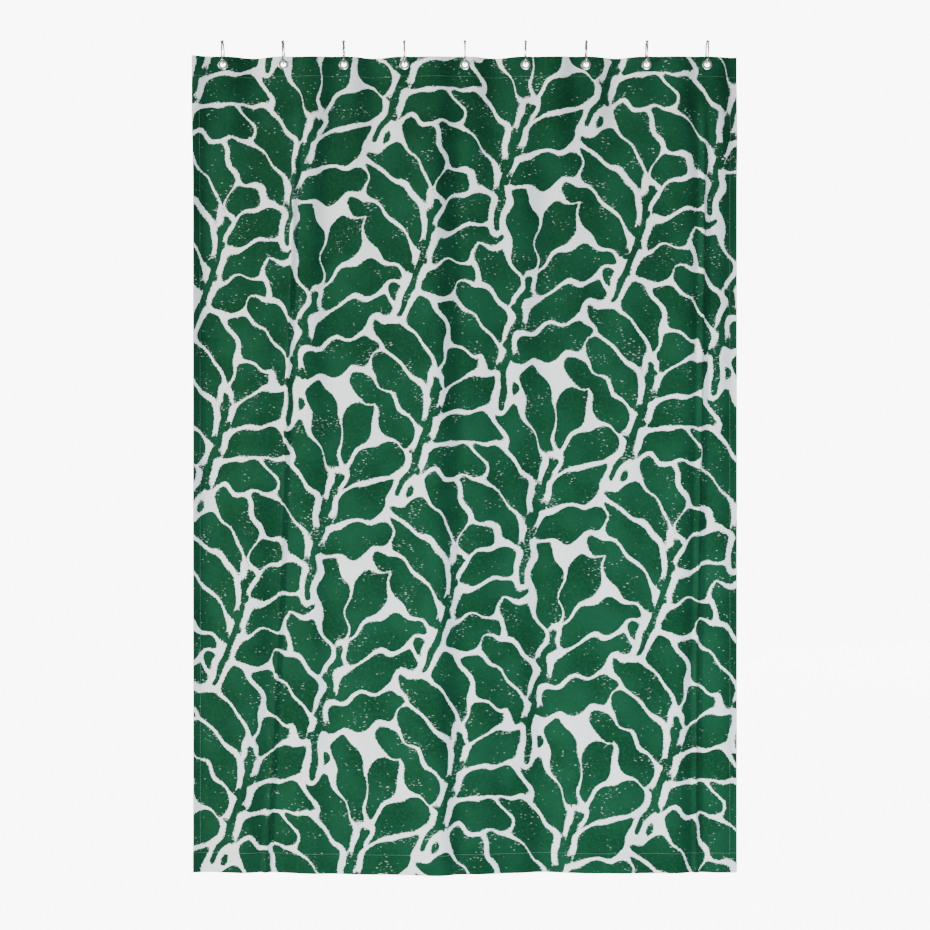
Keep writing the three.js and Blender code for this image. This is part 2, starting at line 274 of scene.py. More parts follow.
@dataclass
class LeafPrint:
    """A block print of leafy sprigs that repeats like wallpaper, grown until it fills its tile."""

    tile: tuple[float, float] = (0.464, 0.748)
    enlarged: float = 1.15
    tilt: float = math.radians(4)
    channel: float = 0.0080
    stem_cut: float = 0.0105
    stem_half_width: float = 0.0072
    taper: float = 0.72
    fullest: float = 0.18
    sway: float = 0.0042
    rounding: float = 0.015
    joint: float = 0.009
    root_start: float = 0.72
    root_rise: float = 0.06
    steps: int = 24
    leaves_per_sprig: int = 8
    leaves: list[Leaf] = field(default_factory=list)
    stems: list[Stem] = field(default_factory=list)

    def sprigs(self) -> list[tuple[float, float, float, float, float, int]]:
        """The sprigs of one tile.

        Returns:
            For each: foot across and up, angle and curl in degrees, length, and its first leaf's side.
        """
        return [
            (0.040, 0.020, 66, 14, 0.265, -1),
            (0.285, 0.190, 72, -12, 0.280, 1),
            (0.070, 0.395, 68, 12, 0.265, -1),
            (0.300, 0.565, 70, -10, 0.275, 1),
        ]

    def stem_points(self, x: float, y: float, angle: float, curl: float, length: float) -> list[tuple]:
        """Walk along a stem.

        Args:
            x: foot, across.
            y: foot, up.
            angle: mean direction in degrees.
            curl: half the change of direction, in degrees.
            length: the stem's length.

        Returns:
            Places with their direction in radians, one more than there are steps.
        """
        points = []
        for step in range(self.steps + 1):
            turn = math.radians(angle + curl * (2 * step / self.steps - 1))
            points.append((x, y, turn))
            x += length / self.steps * math.cos(turn)
            y += length / self.steps * math.sin(turn)
        return points

    def plant(self) -> None:
        """Set the stems and the young leaves."""
        for x, y, angle, curl, length, first in self.sprigs():
            points = self.stem_points(x, y, angle, curl, length)
            for i in range(self.leaves_per_sprig):
                share = 0.21 + 0.79 * i / (self.leaves_per_sprig - 1)
                px, py, turn = points[round(share * self.steps)]
                last = i == self.leaves_per_sprig - 1
                side = first * (1 if i % 2 == 0 else -1)
                spread = 4 if last else 55 - 30 * share
                self.leaves.append(Leaf((px, py), turn, side, spread, 0.165, 0.034, 0.22))
            short = self.stem_points(x, y, angle, curl, length * 0.97)
            half_way = self.steps // 2
            for start in (0, half_way):
                stretch = (0, half_way // 2, half_way)
                (ax, ay, _), (mx, my, _), (bx, by, _) = (short[start + k] for k in stretch)
                cx, cy = (ax + bx) / 2, (ay + by) / 2
                turn, half = math.atan2(by - ay, bx - ax), math.hypot(bx - ax, by - ay) / 2
                bow = (mx - cx) * math.sin(turn) - (my - cy) * math.cos(turn)
                self.stems.append(Stem((cx, cy), turn, half, bow / half))

    def distance(self, u: np.ndarray, v: np.ndarray, centre: tuple[float, float], turn: float, half: float,
                 width: float, bend: float, taper: float) -> tuple[np.ndarray, np.ndarray]:
        """Distance to a bent, tapered bar, in the repeating tile.

        Args:
            u: places across.
            v: places up.
            centre: the bar's centre.
            turn: its direction in radians.
            half: half its length.
            width: half its width where it is fullest.
            bend: how far it bows, as a share of half its length.
            taper: how much narrower its ends are.

        Returns:
            The distances, negative inside, and the place along the bar from -1 to 1.
        """
        dx = (u - centre[0] + self.tile[0] / 2) % self.tile[0] - self.tile[0] / 2
        dy = (v - centre[1] + self.tile[1] / 2) % self.tile[1] - self.tile[1] / 2
        x = dx * math.cos(turn) + dy * math.sin(turn)
        y = dy * math.cos(turn) - dx * math.sin(turn)
        near = np.clip(x, -half, half)
        along = near / half
        y = y + bend * half * (1 - along * along)
        radius = width * (1 - taper * (along - (self.fullest if taper else 0)) ** 2)
        return np.hypot(x - near, y) - radius, along

    def leaf_distance(self, u: np.ndarray, v: np.ndarray, stem: np.ndarray, leaf: Leaf) -> np.ndarray:
        """Distance to a leaf, cut back from the stems except at its root.

        Args:
            u: places across.
            v: places up.
            stem: distances to the nearest stem.
            leaf: the leaf.

        Returns:
            The distances.
        """
        x, y, turn, half = leaf.axis()
        bend = leaf.side * leaf.bend
        d, along = self.distance(u, v, (x, y), turn, half, leaf.half_width, bend, self.taper)
        return np.maximum(d, np.minimum(self.stem_cut - stem, (along + self.root_start) * self.root_rise))

    def grow(self, cell: float = 0.008, rounds: int = 5) -> None:
        """Turn, stretch and bend each leaf a little at a time, as long as more of the tile is covered.

        Args:
            cell: grid that the cover is counted on.
            rounds: passes over all leaves, each with smaller steps.
        """
        counts = [int(size / cell) for size in self.tile]
        axes = [(np.arange(n) + 0.5) * size / n for n, size in zip(counts, self.tile)]
        u, v = (grid.ravel().astype(np.float32) for grid in np.meshgrid(*axes))
        stem = np.full(u.shape, 9.0)
        for s in self.stems:
            args = (s.centre, s.turn, s.half, self.stem_half_width, s.bow, 0.0)
            stem = np.minimum(stem, self.distance(u, v, *args)[0])
        table = np.stack([self.leaf_distance(u, v, stem, leaf) for leaf in self.leaves]).astype(np.float32)

        def cover() -> float:
            """How much of the tile is under ink.

            Returns:
                Its share, from 0 to 1.
            """
            nearest = np.partition(table, 1, axis=0)
            edge = np.maximum(nearest[0], (self.channel - (nearest[1] - nearest[0])) / 2)
            return float(np.clip(0.5 - edge / 0.006, 0, 1).mean())

        best = cover()
        limits = {"spread": (0, 62), "length": (0.12, 0.235),
                  "half_width": (0.026, 0.039), "bend": (0.10, 0.42)}
        steps = {"spread": 10.0, "length": 0.02, "half_width": 0.004, "bend": 0.1}
        for _ in range(rounds):
            for row, leaf in enumerate(self.leaves):
                for name, (low, high) in limits.items():
                    for step in (steps[name], -steps[name]):
                        old, kept = getattr(leaf, name), table[row].copy()
                        setattr(leaf, name, min(max(old + step, low), high))
                        table[row] = self.leaf_distance(u, v, stem, leaf)
                        share = cover()
                        if share > best + 1e-5:
                            best = share
                            break
                        setattr(leaf, name, old)
                        table[row] = kept
            steps = {name: step * 0.7 for name, step in steps.items()}
        log.info("print: %d leaves cover %.3f of the tile", len(self.leaves), best)

    def bar_group(self, name: str, is_leaf: bool) -> bpy.types.NodeTree:
        """The shader group that measures one bar, a leaf or a stretch of stem.

        Args:
            name: the group's name.
            is_leaf: True for a leaf, which also keeps the two nearest distances.

        Returns:
            The group's tree.
        """
        tree = bpy.data.node_groups.new(name, "ShaderNodeTree")
        vectors = ["Place", "Highest", "Lowest", "Centre", "Turn"]
        numbers = ["Half Length", "Half Width", "Bow"]
        numbers += ["Stem Cut", "Nearest", "Second"] if is_leaf else []
        for label in vectors:
            tree.interface.new_socket(label, in_out="INPUT", socket_type="NodeSocketVector")
        for label in numbers:
            tree.interface.new_socket(label, in_out="INPUT", socket_type="NodeSocketFloat")
        for label in ["Nearest", "Second"] if is_leaf else ["Distance"]:
            tree.interface.new_socket(label, in_out="OUTPUT", socket_type="NodeSocketFloat")
        book = NodeBook(tree)
        given, result = book.node("NodeGroupInput").outputs, book.node("NodeGroupOutput").inputs
        wrapped = book.vector("WRAP", given["Place"], given["Highest"], given["Lowest"])
        local = book.node("ShaderNodeMapping", vector_type="TEXTURE")
        book.feed(local.inputs["Vector"], wrapped)
        book.feed(local.inputs["Location"], given["Centre"])
        book.feed(local.inputs["Rotation"], given["Turn"])
        parts = book.node("ShaderNodeSeparateXYZ")
        book.feed(parts.inputs[0], local.outputs[0])
        x, y = parts.outputs["X"], parts.outputs["Y"]
        half, width = given["Half Length"], given["Half Width"]
        near = book.math("MAXIMUM", book.math("MINIMUM", x, half), book.math("MULTIPLY", half, -1.0))
        along = book.math("DIVIDE", near, half)
        bowed = book.math("MULTIPLY_ADD", book.math("MULTIPLY", along, along), -1.0, 1.0)
        y = book.math("MULTIPLY_ADD", bowed, book.math("MULTIPLY", given["Bow"], half), y)
        gap = book.node("ShaderNodeCombineXYZ")
        book.feed(gap.inputs[0], book.math("SUBTRACT", x, near))
        book.feed(gap.inputs[1], y)
        length = book.vector("LENGTH", gap.outputs[0])
        if not is_leaf:
            book.feed(result["Distance"], book.math("SUBTRACT", length, width))
            return tree
        off = book.math("SUBTRACT", along, self.fullest)
        shrink = book.math("MULTIPLY_ADD", book.math("MULTIPLY", off, off), -self.taper, 1.0)
        d = book.math("SUBTRACT", length, book.math("MULTIPLY", width, shrink))
        root = book.math("MULTIPLY_ADD", along, self.root_rise, self.root_start * self.root_rise)
        d = book.math("SMOOTH_MAX", d, book.math("MINIMUM", given["Stem Cut"], root), self.rounding)
        later = book.math("MAXIMUM", given["Nearest"], d)
        book.feed(result["Second"], book.math("MINIMUM", later, given["Second"]))
        book.feed(result["Nearest"], book.math("MINIMUM", given["Nearest"], d))
        return tree

    def bar(self, book: NodeBook, group: bpy.types.NodeTree, place: bpy.types.NodeSocket,
            centre: tuple[float, float], turn: float, half: float, width: float,
            bow: float) -> bpy.types.Node:
        """Add one bar to a material.

        Args:
            book: the material's node book.
            group: the tree from bar_group.
            place: socket with the place in the tile.
            centre: the bar's centre.
            turn: its direction.
            half: half its length.
            width: half its width.
            bow: how far it bows.

        Returns:
            The group node.
        """
        node = book.node("ShaderNodeGroup")
        node.node_tree = group
        reach = (self.tile[0] / 2, self.tile[1] / 2)
        book.feed(node.inputs["Place"], place)
        node.inputs["Highest"].default_value = (centre[0] + reach[0], centre[1] + reach[1], 1)
        node.inputs["Lowest"].default_value = (centre[0] - reach[0], centre[1] - reach[1], -1)
        node.inputs["Centre"].default_value = (*centre, 0)
        node.inputs["Turn"].default_value = (0, 0, turn)
        node.inputs["Half Length"].default_value = half
        node.inputs["Half Width"].default_value = width
        node.inputs["Bow"].default_value = bow
        return node

    def swayed(self, book: NodeBook, flat: bpy.types.NodeSocket) -> tuple:
        """The place in the tile, pushed about so that no outline is quite regular.

        Args:
            book: the material's node book.
            flat: socket with the place on the cloth, in metres.

        Returns:
            The place's socket, and the tile's two angles.
        """
        turned = book.node("ShaderNodeMapping", vector_type="POINT")
        book.feed(turned.inputs["Vector"], flat)
        turned.inputs["Rotation"].default_value = (0, 0, -self.tilt)
        parts = book.node("ShaderNodeSeparateXYZ")
        book.feed(parts.inputs[0], turned.outputs[0])
        a = book.math("MULTIPLY", parts.outputs["X"], 2 * math.pi / self.tile[0])
        b = book.math("MULTIPLY", parts.outputs["Y"], 2 * math.pi / self.tile[1])

        def push(first: bpy.types.NodeSocket, second: bpy.types.NodeSocket, n: float, m: float,
                 phase: float, inner: float, cross: tuple[float, float, float]) -> bpy.types.NodeSocket:
            """One direction's push: a wave bent by another, and a wave across both.

            Args:
                first: angle that the wave runs along.
                second: angle that bends it.
                n: waves along the tile.
                m: bends along the tile.
                phase: start of the wave.
                inner: start of the bend.
                cross: waves along a and b, and a start.

            Returns:
                The push's socket.
            """
            bend = book.wave(book.math("MULTIPLY_ADD", second, m, inner), 2.0)
            main = book.math("ADD", book.math("MULTIPLY_ADD", first, n, phase), bend)
            other = book.math("MULTIPLY_ADD", a, cross[0], book.math("MULTIPLY_ADD", b, cross[1], cross[2]))
            return book.math("ADD", book.wave(main, self.sway), book.wave(other, 0.7 * self.sway))

        shift = book.node("ShaderNodeCombineXYZ")
        book.feed(shift.inputs[0], push(b, a, 9, 3, 0.7, 1.0, (6, 9, 0)))
        book.feed(shift.inputs[1], push(a, b, 6, 4, 2.1, 2.0, (8, -7, 1)))
        return book.vector("ADD", turned.outputs[0], shift.outputs[0]), a, b

    def edge(self, book: NodeBook, flat: bpy.types.NodeSocket) -> bpy.types.NodeSocket:
        """Distance to the print's edge in metres, negative under ink.

        Args:
            book: the material's node book.
            flat: socket with the place on the cloth, in metres.

        Returns:
            The distance's socket.
        """
        shrink = 1 / self.enlarged
        place, a, b = self.swayed(book, book.vector("MULTIPLY", flat, (shrink, shrink, shrink)))
        leaf_group = self.bar_group("Leaf distance", True)
        stem_group = self.bar_group("Stem distance", False)
        stem = 9.0
        for s in self.stems:
            node = self.bar(book, stem_group, place, s.centre, s.turn, s.half, self.stem_half_width, s.bow)
            stem = book.math("MINIMUM", stem, node.outputs[0])
        cut = book.math("SUBTRACT", self.stem_cut, stem)
        nearest, second = 9.0, 9.0
        for leaf in self.leaves:
            x, y, turn, half = leaf.axis()
            bow = leaf.side * leaf.bend
            node = self.bar(book, leaf_group, place, (x, y), turn, half, leaf.half_width, bow)
            book.feed(node.inputs["Stem Cut"], cut)
            book.feed(node.inputs["Nearest"], nearest)
            book.feed(node.inputs["Second"], second)
            nearest, second = node.outputs["Nearest"], node.outputs["Second"]
        bend = book.wave(book.math("MULTIPLY", b, 2.0), 3.0)
        swell = book.wave(book.math("MULTIPLY_ADD", a, 3.0, bend), 0.5 * self.channel)
        channel = book.math("ADD", swell, 0.75 * self.channel)
        between = book.math("SUBTRACT", channel, book.math("SUBTRACT", second, nearest))
        leaf_edge = book.math("SMOOTH_MAX", nearest, book.math("MULTIPLY", between, 0.5), self.rounding)
        return book.math("MULTIPLY", book.math("SMOOTH_MIN", leaf_edge, stem, self.joint), self.enlarged)


# ------------------------------------------------------------------------------ finishes


def new_material(name: str) -> tuple[bpy.types.Material, NodeBook, bpy.types.Node]:
    """Start a material.

    Args:
        name: its name.

    Returns:
        The material, its node book and its Principled node.
    """
    material = bpy.data.materials.new(name)
    material.use_nodes = True
    book = NodeBook(material.node_tree)
    return material, book, material.node_tree.nodes["Principled BSDF"]


@dataclass(frozen=True)
class PrintedCloth:
    """Thin woven polyester, printed in one colour of ink that shows through faintly at the back."""

    ink: tuple[float, float, float, float] = (0.0014, 0.0315, 0.0120, 1)
    ink_worn: tuple[float, float, float, float] = (0.0065, 0.061, 0.029, 1)
    ground: tuple[float, float, float, float] = (0.825, 0.785, 0.805, 1)
    show_through: tuple[float, float, float, float] = (0.12, 0.27, 0.19, 1)
    thread: float = 0.0007
    ragged: float = 0.0034
    edge_blur: float = 0.0010
    bare: float = 0.36

    def flecks(self, book: NodeBook, flat: bpy.types.NodeSocket,
               edge: bpy.types.NodeSocket) -> bpy.types.NodeSocket:
        """Short bare strokes where the block pressed lightly, most of them in patches and near an edge.

        Args:
            book: the material's node book.
            flat: socket with the place on the cloth, in metres.
            edge: socket with the distance to the print's edge.

        Returns:
            How bare the cloth is, from 0 to `bare`.
        """
        near_edge = book.ramp(edge, -0.011, -0.002, 0.0, 0.045)
        patches = book.ramp(book.noise(flat, 17, 1.0), 0.46, 0.68, 0.0, 0.11)
        limit = book.math("SUBTRACT", 0.830, book.math("ADD", near_edge, patches))
        fleck = 0.0
        for turn, offset in ((0.7, 0.0), (-0.5, 3.7)):
            stroke = book.node("ShaderNodeMapping", vector_type="POINT")
            book.feed(stroke.inputs["Vector"], flat)
            stroke.inputs["Location"].default_value = (offset, offset, 0)
            stroke.inputs["Rotation"].default_value = (0, 0, turn)
            stroke.inputs["Scale"].default_value = (0.45, 1.20, 1)
            height = book.math("SUBTRACT", book.noise(stroke.outputs[0], 270, 0.0), limit)
            fleck = book.math("MAXIMUM", fleck, book.ramp(height, 0.0, 0.07, 0.0, self.bare))
        return fleck

    def material(self, leaf_print: LeafPrint) -> bpy.types.Material:
        """Build the finish.

        Args:
            leaf_print: the print on it.

        Returns:
            The material.
        """
        material, book, shader = new_material("printed cloth")
        uv = book.node("ShaderNodeUVMap", uv_map="flat").outputs[0]
        flat = book.vector("MULTIPLY", uv, (FLAT_SCALE, FLAT_SCALE, FLAT_SCALE))
        edge = leaf_print.edge(book, flat)
        fine = book.noise(flat, 270, 1.0)
        middle = book.noise(flat, 130, 2.0)
        broad = book.noise(flat, 9, 2.0)
        rough_edge = book.math("MULTIPLY_ADD", book.math("SUBTRACT", fine, 0.5), 2 * self.ragged, edge)
        rough_edge = book.math("MULTIPLY_ADD", book.math("SUBTRACT", middle, 0.5), self.ragged, rough_edge)
        ink = book.ramp(rough_edge, -self.edge_blur, self.edge_blur, 1.0, 0.0)
        fleck = self.flecks(book, flat, edge)
        ink = book.math("MULTIPLY", ink, book.math("SUBTRACT", 1.0, fleck))
        back = book.node("ShaderNodeAttribute", attribute_name="back").outputs["Fac"]
        tone = book.mix(book.ramp(broad, 0.3, 0.7, 0.0, 0.65), self.ink, self.ink_worn)
        tone = book.mix(book.ramp(middle, 0.38, 0.72, 0.0, 0.45), tone, self.ink_worn)
        tone = book.mix(back, tone, self.show_through)
        # The weave: warp and weft as fine ribs in height, and painted shade that darkens the colour where
        # the ribs are low.
        parts = book.node("ShaderNodeSeparateXYZ")
        book.feed(parts.inputs[0], flat)
        turns = 2 * math.pi / self.thread
        warp = book.math("SINE", book.math("MULTIPLY", parts.outputs["X"], turns))
        weft = book.math("SINE", book.math("MULTIPLY", parts.outputs["Y"], turns))
        weave = book.math("MULTIPLY", warp, weft)
        colour = book.mix(ink, self.ground, tone)
        # Painted shade: the cloth's colour darkens by up to a tenth in the low places between the threads.
        shaded = book.mix(book.ramp(weave, -1, 1, 0.10, 0.0), colour, (0.0, 0.0, 0.0, 1))
        book.feed(shader.inputs["Base Color"], shaded)
        shader.inputs["Roughness"].default_value = 0.85
        shader.inputs["Specular IOR Level"].default_value = 0.08
        shader.inputs["Sheen Weight"].default_value = 0.02
        shader.inputs["Sheen Roughness"].default_value = 0.5
        slub = book.math("ADD", book.math("MULTIPLY", weave, 0.5), book.noise(flat, 60, 3.0))
        bump = book.node("ShaderNodeBump")
        bump.inputs["Strength"].default_value = 0.25
        bump.inputs["Distance"].default_value = 0.0004
        book.feed(bump.inputs["Height"], slub)
        book.feed(shader.inputs["Normal"], bump.outputs[0])
        return material


@dataclass(frozen=True)
class PlainWeave:
    """Undyed tape or thread, with painted shade in the low places of its weave."""

    name: str
    colour: tuple[float, float, float, float]
    rib: float
    roughness: float = 0.8

    def material(self) -> bpy.types.Material:
        """Build the finish.

        Returns:
            The material.
        """
        material, book, shader = new_material(self.name)
        place = book.node("ShaderNodeTexCoord").outputs["Object"]
        parts = book.node("ShaderNodeSeparateXYZ")
        book.feed(parts.inputs[0], place)
        turns = 2 * math.pi / self.rib
        across = book.math("SINE", book.math("MULTIPLY", parts.outputs["X"], turns))
        down = book.math("SINE", book.math("MULTIPLY", parts.outputs["Z"], turns))
        weave = book.math("MULTIPLY", across, down)
        dark = tuple(0.8 * c for c in self.colour[:3]) + (1,)
        # Painted shade: the colour darkens to four fifths where the weave's ribs are low, the same places
        # its bump makes lowest.
        book.feed(shader.inputs["Base Color"], book.mix(book.ramp(weave, -1, 1), dark, self.colour))
        shader.inputs["Roughness"].default_value = self.roughness
        bump = book.node("ShaderNodeBump")
        bump.inputs["Strength"].default_value = 0.3
        bump.inputs["Distance"].default_value = self.rib / 4
        book.feed(bump.inputs["Height"], weave)
        book.feed(shader.inputs["Normal"], bump.outputs[0])
        return material


@dataclass(frozen=True)
class Metal:
    """Plated or polished metal with faint wear and brushed streaks."""

    name: str
    colour: tuple[float, float, float, float]
    roughness: float

    def material(self) -> bpy.types.Material:
        """Build the finish.

        Returns:
            The material.
        """
        material, book, shader = new_material(self.name)
        place = book.node("ShaderNodeTexCoord").outputs["Object"]
        smudge = book.noise(place, 180, 3.0)
        scratch = book.noise(book.vector("MULTIPLY", place, (1.0, 6.0, 6.0)), 900, 2.0)
        dark = tuple(0.90 * c for c in self.colour[:3]) + (1,)
        tone = book.mix(book.ramp(smudge, 0.3, 0.65), dark, self.colour)
        book.feed(shader.inputs["Base Color"], tone)
        shader.inputs["Metallic"].default_value = 1.0
        rough = book.ramp(scratch, 0.3, 0.7, self.roughness * 0.75, self.roughness * 1.5)
        book.feed(shader.inputs["Roughness"], rough)
        bump = book.node("ShaderNodeBump")
        bump.inputs["Strength"].default_value = 0.04
        bump.inputs["Distance"].default_value = 0.0002
        book.feed(bump.inputs["Height"], scratch)
        book.feed(shader.inputs["Normal"], bump.outputs[0])
        return material


# ------------------------------------------------------------------------------ meshes


def new_piece(name: str, vertices: list, faces: list, material: bpy.types.Material,
              sharp: float = 40) -> bpy.types.Object:
    """Make a smooth-shaded mesh object at the origin.

    Args:
        name: the object's name.
        vertices: its corners.
        faces: its faces, as lists of corner numbers.
        material: its finish.
        sharp: edges that turn by more than this many degrees stay sharp.

    Returns:
        The object.
    """
    mesh = bpy.data.meshes.new(name)
    mesh.from_pydata([tuple(map(float, p)) for p in vertices], [], [tuple(map(int, f)) for f in faces])
    mesh.materials.append(material)
    mesh.polygons.foreach_set("use_smooth", [True] * len(mesh.polygons))
    mesh.set_sharp_from_angle(angle=math.radians(sharp))
    mesh.update()
    piece = bpy.data.objects.new(name, mesh)
    bpy.context.collection.objects.link(piece)
    return piece


@dataclass
class Shape:
    """Corners and faces that grow as parts are added."""

    vertices: list = field(default_factory=list)
    faces: list = field(default_factory=list)

    def add(self, vertices: list, faces: list) -> None:
        """Add a part.

        Args:
            vertices: its corners.
            faces: its faces, counted from its own first corner.
        """
        start = len(self.vertices)
        self.vertices.extend(tuple(map(float, p)) for p in vertices)
        self.faces.extend(tuple(int(k) + start for k in face) for face in faces)

    def loft(self, rings: list, closed: bool = False, caps: bool = True) -> None:
        """Skin a row of rings that have the same number of points.

        Args:
            rings: lists of points, each running anticlockwise as seen from the row's end.
            closed: True if the last ring joins the first.
            caps: True to close the two ends.
        """
        n, count = len(rings[0]), len(rings)
        faces = []
        for k in range(count if closed else count - 1):
            a, b = k * n, ((k + 1) % count) * n
            faces += [(a + i, a + (i + 1) % n, b + (i + 1) % n, b + i) for i in range(n)]
        if caps and not closed:
            faces.append(tuple(reversed(range(n))))
            faces.append(tuple(range((count - 1) * n, count * n)))
        self.add([p for ring in rings for p in ring], faces)

    def turned(self, profile: list, axis: Vector, centre: Vector, sides: int = 48) -> None:
        """Turn a closed profile about an axis.

        Args:
            profile: (radius, height) pairs that close on themselves, clockwise with radius to the right.
            axis: the axis's direction.
            centre: the axis's origin.
            sides: flats round the axis.
        """
        frame = axis.to_track_quat("Z", "Y").to_matrix()
        rings = []
        for k in range(sides):
            a = 2 * math.pi * k / sides
            out = [frame @ Vector((r * math.cos(a), r * math.sin(a), h)) + centre for r, h in profile]
            rings.append(out)
        self.loft(rings, closed=True)

    def piece(self, name: str, material: bpy.types.Material, shift: Vector,
              sharp: float = 40) -> bpy.types.Object:
        """Make the object, with outward faces.

        Args:
            name: its name.
            material: its finish.
            shift: where the shape's own origin goes.
            sharp: edges that turn by more than this many degrees stay sharp.

        Returns:
            The object.
        """
        moved = [tuple(Vector(p) + shift) for p in self.vertices]
        made = new_piece(name, moved, self.faces, material, sharp)
        work = bmesh.new()
        work.from_mesh(made.data)
        bmesh.ops.remove_doubles(work, verts=work.verts, dist=1e-7)
        bmesh.ops.recalc_face_normals(work, faces=work.faces)
        work.to_mesh(made.data)
        work.free()
        made.data.set_sharp_from_angle(angle=math.radians(sharp))
        return made


# ------------------------------------------------------------------------------ the cloth's shape


@dataclass(frozen=True)
class Fold:
    """A fold that runs down the cloth. Places are metres along the flat cloth.

    A soft fold is a narrow band where the cloth falls back. A pleat is a ridge, steep on both sides.
    """

    top: float
    bottom: float
    width: float
    top_slope: float
    bottom_slope: float
    pleat: bool = False

    def slope(self, s: np.ndarray, share: float) -> np.ndarray:
        """The cloth's slope across this fold.

        Args:
            s: places along the flat cloth.
            share: how far down, 0 at the top and 1 at the bottom.

        Returns:
            The slope in radians.
        """
        drift = 0.007 * math.sin(5.2 * share + 40 * self.top) * share
        middle = self.top + (self.bottom - self.top) * share + drift
        steep = self.top_slope + (self.bottom_slope - self.top_slope) * share
        u = (s - middle) / self.width
        if self.pleat:
            rise = np.tanh((u + 1) * 3.5) - np.tanh(u * 3.5)
            fall = np.tanh(u * 3.5) - np.tanh((u - 1) * 3.5)
            return steep * (fall - rise) / 2
        return steep * np.exp(-u * u / 2)


@dataclass
class HungCloth:
    """The shape of the cloth as it hangs: regular at the eyelets, loose and uneven lower down."""

    top: float
    hung_width: float
    width: float = 1.372
    length: float = 1.981
    pitch: float = 0.1524
    flat_half: float = 0.016
    bulge_slope: float = 0.434
    header_end: float = 0.05
    settling: float = 0.28
    ripple: float = 0.0016
    header_sag: float = 0.0025
    rows: int = 100
    samples: int = 1373

    def margin(self) -> float:
        """From a side edge to the nearest eyelet, along the flat cloth.

        Returns:
            The distance.
        """
        return (self.width - (RING_COUNT - 1) * self.pitch) / 2

    def folds(self) -> list[Fold]:
        """The folds of the lower cloth.

        Returns:
            Two pleats and the soft ridges and valleys between them.
        """
        return [
            Fold(0.278, 0.190, 0.0125, 1.25, 1.40, True),
            Fold(1.285, 1.266, 0.0125, 1.30, 1.42, True),
            Fold(0.010, 0.014, 0.018, 0.55, 0.30),
            Fold(0.322, 0.338, 0.019, 0.48, 0.20),
            Fold(0.240, 0.150, 0.022, 0.10, 0.34),
            Fold(0.455, 0.480, 0.040, 0.16, 0.14),
            Fold(0.640, 0.655, 0.022, 0.56, 0.42),
            Fold(0.745, 0.760, 0.034, 0.20, 0.26),
            Fold(0.872, 0.842, 0.026, 0.34, 0.28),
            Fold(0.985, 1.010, 0.036, 0.24, 0.12),
            Fold(1.110, 1.130, 0.034, 0.12, 0.20),
            Fold(1.262, 1.240, 0.020, 0.42, 0.40),
            Fold(1.345, 1.350, 0.018, 0.34, 0.22),
        ]

    def header_slope(self, s: np.ndarray) -> np.ndarray:
        """The slope along the top hem: flat at each eyelet, bulging between them by turns.

        Args:
            s: places along the flat cloth.

        Returns:
            The slope in radians.
        """
        margin = self.margin()
        bay = np.floor((s - margin) / self.pitch)
        within = s - margin - bay * self.pitch - self.flat_half
        span = self.pitch - 2 * self.flat_half
        side = np.where(bay.astype(int) % 2 == 0, 1, -1)
        slope = side * self.bulge_slope * np.sin(2 * math.pi * within / span)
        return np.where((within < 0) | (within > span), 0, slope)

    def __post_init__(self) -> None:
        """Lay out every row of the cloth."""
        self.s_axis = np.linspace(0, self.width, self.samples)
        self.v_axis = np.linspace(0, self.length, self.rows)
        step = self.s_axis[1] - self.s_axis[0]
        header = self.header_slope(self.s_axis)
        x_rows, y_rows, slopes = [], [], []
        for v in self.v_axis:
            share = v / self.length
            blend = min(max((v - self.header_end) / self.settling, 0.0), 1.0)
            blend = blend * blend * (3 - 2 * blend)
            pleats = sum(f.slope(self.s_axis, share) for f in self.folds() if f.pleat)
            soft = sum(f.slope(self.s_axis, share) for f in self.folds() if not f.pleat)
            soft, pleats = soft - np.mean(soft), pleats - np.mean(pleats)
            slope = self.fitted((1 - blend) * header + blend * soft, blend * pleats, step)
            slope = slope - blend * np.sum(np.sin(slope)) / np.sum(np.cos(slope))
            x = np.concatenate([[0], np.cumsum(np.cos((slope[1:] + slope[:-1]) / 2) * step)])
            y = np.concatenate([[0], np.cumsum(np.sin((slope[1:] + slope[:-1]) / 2) * step)])
            y_at_eyelet = np.interp(self.margin(), self.s_axis, y)
            x_rows.append(x - x[-1] / 2)
            y_rows.append(y - (1 - blend) * y_at_eyelet - blend * np.mean(y))
            slopes.append(slope)
        self.x, self.y, self.slope = np.array(x_rows), np.array(y_rows), np.array(slopes)

    def fitted(self, soft: np.ndarray, pleats: np.ndarray, step: float) -> np.ndarray:
        """Scale the soft folds so that the row is as wide as the curtain hangs.

        Args:
            soft: slope of the soft folds.
            pleats: slope of the pleats.
            step: spacing of the samples.

        Returns:
            The row's slope.
        """
        scale = 1.0
        for _ in range(14):
            taken = np.sum(1 - np.cos(scale * soft + pleats)) * step
            bare = np.sum(1 - np.cos(pleats)) * step
            wanted = max(self.width - self.hung_width - bare, 0.004)
            scale *= math.sqrt(wanted / max(taken - bare, 1e-6))
            scale = min(max(scale, 0.2), 4.0)
        return scale * soft + pleats

    def sample(self, table: np.ndarray, s: np.ndarray, v: np.ndarray) -> np.ndarray:
        """Look up a table at places on the cloth.

        Args:
            table: rows by samples.
            s: places along.
            v: places down.

        Returns:
            The values between the table's entries.
        """
        i = np.clip(s / self.width, 0, 1) * (self.samples - 1)
        j = np.clip(v / self.length, 0, 1) * (self.rows - 1)
        i0, j0 = np.minimum(i.astype(int), self.samples - 2), np.minimum(j.astype(int), self.rows - 2)
        fi, fj = i - i0, j - j0
        upper = table[j0, i0] * (1 - fi) + table[j0, i0 + 1] * fi
        lower = table[j0 + 1, i0] * (1 - fi) + table[j0 + 1, i0 + 1] * fi
        return upper * (1 - fj) + lower * fj

